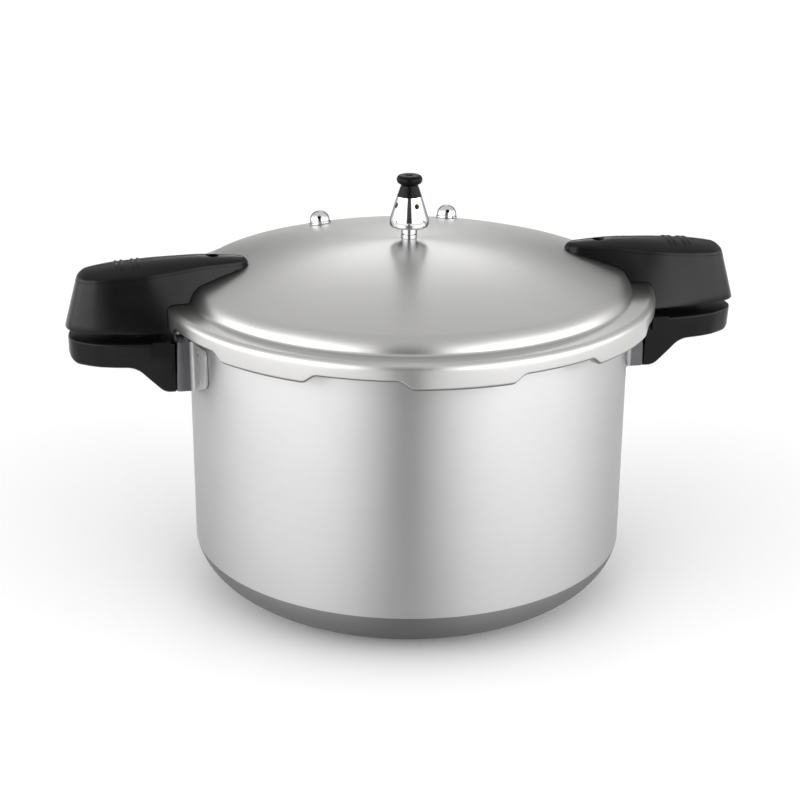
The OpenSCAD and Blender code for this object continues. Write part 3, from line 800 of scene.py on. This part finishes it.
def pot_bracket(name):
    """One strip of sheet: a wing on the wall, a side, the front behind the grip, and the same again."""
    half = bracket_path()
    path = half + [(x, -y) for x, y in half[-2::-1]]
    low, high = bracket_low.z / MM, bracket_high.z / MM
    round_r, chamfer = 3.0, 0.25
    rows = []
    for i, (x, y) in enumerate(path):
        before, after = path[max(i - 1, 0)], path[min(i + 1, len(path) - 1)]
        along = np.array([after[0] - before[0], after[1] - before[1]])
        across = np.array([along[1], -along[0]]) / np.linalg.norm(along) * BRACKET_T / 2
        slope = max(abs(y) - BRACKET_HALF - 1, 0) * math.tan(math.radians(WING_SLOPE))
        # The wing's end has round corners
        to_end = math.radians(WING_END - abs(math.degrees(math.atan2(y, x)))) * math.hypot(x, y)
        cut_off = round_r - math.sqrt(max(round_r**2 - max(round_r - to_end, 0) ** 2, 0))
        foot, top = low + slope + cut_off, high - cut_off
        section = (
            (-1, 0.75, foot), (-1, 1, foot + chamfer), (-1, 1, top - chamfer), (-1, 0.75, top),
            (1, 0.75, top), (1, 1, top - chamfer), (1, 1, foot + chamfer), (1, 0.75, foot),
        )
        rows.append([
            ((x + side * k * across[0]) * MM, (y + side * k * across[1]) * MM, z * MM)
            for side, k, z in section
        ])
    bracket = grid(name, rows, closed_rows=False, caps=True, sharp=40)
    screw_z, rivets_z = low + 17, (low + 12, high - 8)
    holes = []
    for side in (-1, 1):
        place = along_x(BRACKET_X * MM, side * SCREW_Y * MM, screw_z * MM)
        holes.append(drill(SCREW_HOLE, 10 * MM, place))
    for side in (-1, 1):
        for z in rivets_z:
            place = Matrix.Rotation(math.radians(RIVET_A * side), 4, "Z") @ along_x(BODY_R, 0, z * MM)
            holes.append(drill(RIVET_HOLE, 12 * MM, place))
    return cut(bracket, *holes, sharp=40)


def build_pot_brackets():
    for side in ("left", "right"):
        bracket = turned(pot_bracket(side + "_bracket_sheet"), side)
        finish(bracket, "bracket_steel", "pot", side + "_pot_bracket")


# ---------------------------------------------------------------- regulator

BELL_R = 13.9
BELL_NECK = 8.85
BELL_T = 1.0
# The four vents and the four slots near the bell's lip: degrees from +X
VENT_A = 20
SLOT_A = 38


def bell_profile(inset):
    """The bell from its lip to its neck, or its lining when inset, in millimetres above its base."""
    cone_r, cone_z, cone_rise = BELL_R - 0.5, 6.8, 15
    return (
        [(BELL_R - 0.7 - inset, 0), (BELL_R - 0.3 - inset, 0.5), (BELL_R - 0.08 - inset, 1.1)]
        + [(BELL_R - inset, 1.9), (BELL_R - inset, 4.0)]
        + [(BELL_R - inset - 0.06, 4.9), (BELL_R - inset - 0.26, 5.8), (cone_r - inset, cone_z)]
        + [
            (cone_r - inset - (cone_r - BELL_NECK) * t, cone_z + cone_rise * t)
            for t in np.linspace(0.15, 1, 6)
        ]
    )


def regulator_bell():
    base = shell_low.z
    outside = bell_profile(0)
    top = outside[-1][1]
    under = top - BELL_T
    lining = [(r, min(z, under)) for r, z in bell_profile(BELL_T)][:-1] + [(BELL_NECK - 0.7, under)]
    profile = outside + [(1.7, top), (1.7, under)] + lining[::-1]
    bell = lathe("regulator_bell", [(r * MM, base + z * MM) for r, z in profile], 144, sharp=40)
    tools = []
    for quarter in (0, 90, 180, 270):
        vent = Matrix.Rotation(math.radians(VENT_A + quarter), 4, "Z")
        tools.append(drill(2.0 * MM, 14 * MM, vent @ along_x(15 * MM, 0, base + 16 * MM)))
        slot = block((8 * MM, -0.8 * MM, base + 1.2 * MM), (16 * MM, 0.8 * MM, base + 6.2 * MM))
        tools.append(moved(slot, Matrix.Rotation(math.radians(SLOT_A + quarter), 4, "Z")))
    return cut(bell, *tools, sharp=40)


def regulator_grip():
    low, high = knob_low.z / MM, knob_high.z / MM
    foot_r = BELL_NECK - 0.15
    waist = [(BELL_NECK - 0.05, low), (foot_r, low + 0.4)]
    waist += [(foot_r - 2.5 * t, low + 0.4 + 7.2 * t) for t in np.linspace(0.2, 1, 5)]
    waist += [(6.15, low + 8.1), (6.4, low + 8.4)]
    ball = arc((6, high - 4.1), 3.3, -62, 90, 24)
    cap = [(5.4, high - 0.85), (4.4, high - 0.95), (3.2, high - 0.98)]
    cap += [(2.6, high - 0.6), (1.4, high - 0.1), (0, high)]
    bore = [(0, low + 7), (1.6, low + 7), (1.6, low)]
    profile = [(r * MM, z * MM) for r, z in bore + waist + ball + cap]
    return lathe("regulator_grip", profile, 128, sharp=50)


def build_regulator():
    finish(regulator_bell(), "chrome", "regulator", "regulator_shell")
    finish(regulator_grip(), "knob_black", "regulator", "regulator_knob")


# ---------------------------------------------------------------- relief valves


def relief_cap(name, side):
    """A domed cap with a hole that faces the same way on both sides, on its place on the lid."""
    base, wide, high = 1.7, 7.7, 10.2
    # Of the superellipse that the dome follows
    power = 2 / 2.25
    outside = [(wide - 0.15, base)]
    for t in np.radians(np.linspace(2, 90, 30)):
        outside.append((wide * math.cos(t) ** power, base + (high - base) * math.sin(t) ** power))
    lining = [(0, high - 0.7), (3.4, high - 1.05), (5.2, base + 5.6), (wide - 1.5, base + 2.5)]
    lining += [(wide - 1, base)]
    cap = lathe(name, [(r * MM, z * MM) for r, z in outside + lining], 96, sharp=40)
    angle = RELIEF_MID - side * RELIEF_A
    front = Matrix.Rotation(math.radians(RELIEF_HOLE_A - angle), 4, "Z")
    cut(cap, drill(1.4 * MM, 12 * MM, front @ along_x(9 * MM, 0, 5.5 * MM)), sharp=40)
    return moved(cap, on_dome(RELIEF_R, angle))


def relief_spring(name, place):
    """The spring between the poppet and the cap's roof, and the roof's place."""
    turns, steps, sides = 5, 90, 8
    mean, wire, low, high = 2.5 * MM, 0.35 * MM, 4.95 * MM, 8.55 * MM
    rows = []
    for i in range(steps * turns + 1):
        around = 2 * math.pi * i / steps
        centre = low + (high - low) * i / (steps * turns)
        ring = [(mean + wire * math.cos(t), centre + wire * math.sin(t)) for t in full_turn(sides)]
        rows.append([(r * math.cos(around), r * math.sin(around), z) for r, z in ring])
    spring = moved(grid(name, rows, closed_rows=False, caps=True, sharp=50), place)
    return spring, place @ Vector((0, 0, high + wire))


def build_relief_valves():
    for name, side in (("left", -1), ("right", 1)):
        finish(relief_cap(name + "_valve_cap", side), "chrome", "lid", name + "_relief_cap")
        place = on_dome(RELIEF_R, RELIEF_MID - side * RELIEF_A)
        spring, roof = relief_spring(name + "_valve_spring", place)
        finish(spring, "screw_steel", "lid", name + "_relief_spring")
        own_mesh(spring)


# ---------------------------------------------------------------- stage, light and camera

CAMERA_AZIMUTH = 10.9
CAMERA_ELEVATION = 20.61
CAMERA_DISTANCE = 1.26
CAMERA_HEIGHT = 0.1354
CAMERA_YAW = -0.28
CAMERA_ROLL = 0.38
CAMERA_LENS = 75.96
SENSOR_WIDTH = 36
# Brightness of the studio's wall by angle from the camera, as a share of its brightest
STUDIO_SIDES = [
    (180, 0.05), (160, 0.05), (146, 0.07), (125, 0.18), (105, 0.5), (90, 0.8), (78, 0.95), (60, 1.0),
    (46, 1.0), (34, 0.92), (26, 0.74), (19, 0.4), (14.5, 0.05), (11, 0.01), (0, 0.01),
]
STUDIO_POWER = 5.1
STUDIO_CEILING = 0.8
# The flag's half width at distances from the pot's axis
FLAG = [(0.32, 0.03), (1.1, 0.13), (3.0, 0.35)]
# Sine of the elevation where the wall starts to fade into the ceiling, and where it has
FAR_SIDES_TOP = (0.26, 0.52)
NEAR_SIDES_TOP = (0.0, 0.9)
GAP_TOP = (0.25, 1.1)
# How far the wall faces the camera's side, from 0 to 1, where the near sides and the gap begin
NEAR_SIDES_FROM = (0.5, 0.7)
GAP_FROM = (0.95, 0.985)
# The panel's elevation and half sizes in degrees, and its soft edge as a share of them
PANEL_ELEVATION = 24
PANEL_ACROSS = 8.5
PANEL_UP = 3.6
PANEL_EDGE = (0.5, 1.5)
PANEL_POWER = 5.6


def toward_camera():
    """The level direction from the pot to the camera."""
    turn = math.radians(CAMERA_AZIMUTH)
    return Vector((-math.sin(turn), -math.cos(turn), 0))


def build_camera():
    elevation = math.radians(CAMERA_ELEVATION)
    place = toward_camera() * CAMERA_DISTANCE * math.cos(elevation)
    place.z = CAMERA_HEIGHT + CAMERA_DISTANCE * math.sin(elevation)
    turn = math.radians(-CAMERA_AZIMUTH)
    aim = (
        Matrix.Rotation(turn, 4, "Z")
        @ Matrix.Rotation(-math.radians(CAMERA_YAW), 4, "Z")
        @ Matrix.Rotation(math.pi / 2 - elevation, 4, "X")
        @ Matrix.Rotation(math.radians(CAMERA_ROLL), 4, "Z")
    )
    data = bpy.data.cameras.new("camera")
    data.lens = CAMERA_LENS
    data.sensor_width = SENSOR_WIDTH
    camera = bpy.data.objects.new("camera", data)
    camera.matrix_world = Matrix.Translation(place) @ aim
    bpy.context.scene.collection.objects.link(camera)
    bpy.context.scene.camera = camera


def build_floor():
    half = 12.0
    corners = [(-half, -half, 0), (half, -half, 0), (half, half, 0), (-half, half, 0)]
    floor = piece("floor", corners, [(0, 1, 2, 3)])
    s = Shader("floor_paper", Roughness=0.9)
    tone = s.noise(s.coordinates, 3.0)
    s.join(s.ramp(tone, (0, (0.95, 0.95, 0.95)), (1, (0.97, 0.97, 0.97))), "Base Color")
    floor.data.materials.append(s.material)


def build_flag():
    """A dark card lying in front of the pot. Only reflections see it: shiny metal shows a dark band."""
    lift = 0.0005
    toward = toward_camera()
    across = Vector((-toward.y, toward.x, 0))
    corners = []
    for along, half in FLAG:
        corners.append(toward * along - across * half)
        corners.append(toward * along + across * half)
    vertices = [(v.x, v.y, lift) for v in corners]
    faces = [(2 * k, 2 * k + 1, 2 * k + 3, 2 * k + 2) for k in range(len(FLAG) - 1)]
    flag = piece("flag", vertices, faces)
    s = Shader("flag_cloth", Roughness=1.0, Specular_IOR_Level=0.0)
    weave = s.noise(s.coordinates, 900.0)
    s.join(s.ramp(weave, (0, (0.08, 0.08, 0.08)), (1, (0.14, 0.14, 0.14))), "Base Color")
    flag.data.materials.append(s.material)
    flag.visible_camera = False
    flag.visible_diffuse = False
    flag.visible_shadow = False


def build_world():
    """A white studio: tall soft boxes at both sides, a dark gap behind the camera, a dim far wall with
    one small bright panel, and a soft ceiling. The camera itself sees plain white around the object."""
    world = bpy.data.worlds.new("studio")
    world.use_nodes = True
    bpy.context.scene.world = world
    tree = world.node_tree
    background = tree.nodes["Background"]
    direction = tree.nodes.new("ShaderNodeTexCoord").outputs["Generated"]

    def node(kind, inputs, **settings):
        made = tree.nodes.new(kind)
        for key, value in settings.items():
            setattr(made, key, value)
        for key, value in inputs.items():
            if isinstance(value, bpy.types.NodeSocket):
                tree.links.new(value, made.inputs[key])
            else:
                made.inputs[key].default_value = value
        return made

    def vector(operation, first, second):
        made = node("ShaderNodeVectorMath", {0: first, 1: second}, operation=operation)
        return made.outputs["Value" if operation == "DOT_PRODUCT" else "Vector"]

    def mix(factor, first, second, blend="MIX"):
        inputs = {0: factor, 6: first, 7: second}
        return node("ShaderNodeMix", inputs, data_type="RGBA", blend_type=blend).outputs[2]

    def grey(value):
        return (value, value, value, 1)

    def fade(value, start, end, low, high):
        limits = {"Value": value, "From Min": start, "From Max": end, "To Min": low, "To Max": high}
        return node("ShaderNodeMapRange", limits, interpolation_type="SMOOTHSTEP").outputs["Result"]

    level = vector("MULTIPLY", direction, (1, 1, 0))
    level = node("ShaderNodeVectorMath", {0: level}, operation="NORMALIZE").outputs["Vector"]
    cosine = vector("DOT_PRODUCT", level, toward_camera())
    spread = {"Value": cosine, "From Min": -1.0, "From Max": 1.0}
    facing = node("ShaderNodeMapRange", spread).outputs["Result"]
    ramp = node("ShaderNodeValToRGB", {"Fac": facing})
    elements = ramp.color_ramp.elements
    elements[0].color = grey(STUDIO_SIDES[0][1])
    elements[1].color = grey(STUDIO_SIDES[-1][1])
    for azimuth, value in STUDIO_SIDES[1:-1]:
        elements.new((math.cos(math.radians(azimuth)) + 1) / 2).color = grey(value)
    height = node("ShaderNodeSeparateXYZ", {0: direction}).outputs["Z"]
    far_top, near_top, gap_top = (
        fade(height, *top, 0.0, 1.0) for top in (FAR_SIDES_TOP, NEAR_SIDES_TOP, GAP_TOP)
    )
    sides_top = fade(facing, *NEAR_SIDES_FROM, far_top, near_top)
    overhead = fade(facing, *GAP_FROM, sides_top, gap_top)
    sides = mix(1.0, ramp.outputs["Color"], grey(STUDIO_POWER), "MULTIPLY")
    room = mix(overhead, sides, grey(STUDIO_CEILING))
    lift = math.radians(PANEL_ELEVATION)
    away = -toward_camera()
    across = away.cross(Vector((0, 0, 1))) / math.sin(math.radians(PANEL_ACROSS))
    up = (Vector((0, 0, math.cos(lift))) - away * math.sin(lift)) / math.sin(math.radians(PANEL_UP))
    places = {"X": vector("DOT_PRODUCT", direction, across), "Y": vector("DOT_PRODUCT", direction, up)}
    offset = node("ShaderNodeCombineXYZ", places).outputs["Vector"]
    distance = node("ShaderNodeVectorMath", {0: offset}, operation="LENGTH").outputs["Value"]
    panel = fade(distance, *PANEL_EDGE, 1.0, 0.0)
    lit = mix(panel, room, grey(PANEL_POWER))
    seen = tree.nodes.new("ShaderNodeLightPath").outputs["Is Camera Ray"]
    tree.links.new(mix(seen, lit, grey(1)), background.inputs["Color"])
    background.inputs["Strength"].default_value = 1.0


build_camera()
build_floor()
build_flag()
build_world()
dress_cad_nodes()
build_pot()
build_lid()
build_lid_grips()
build_pot_grips()
build_pot_brackets()
build_regulator()
build_relief_valves()

scene = bpy.context.scene
scene.view_settings.view_transform = "Standard"
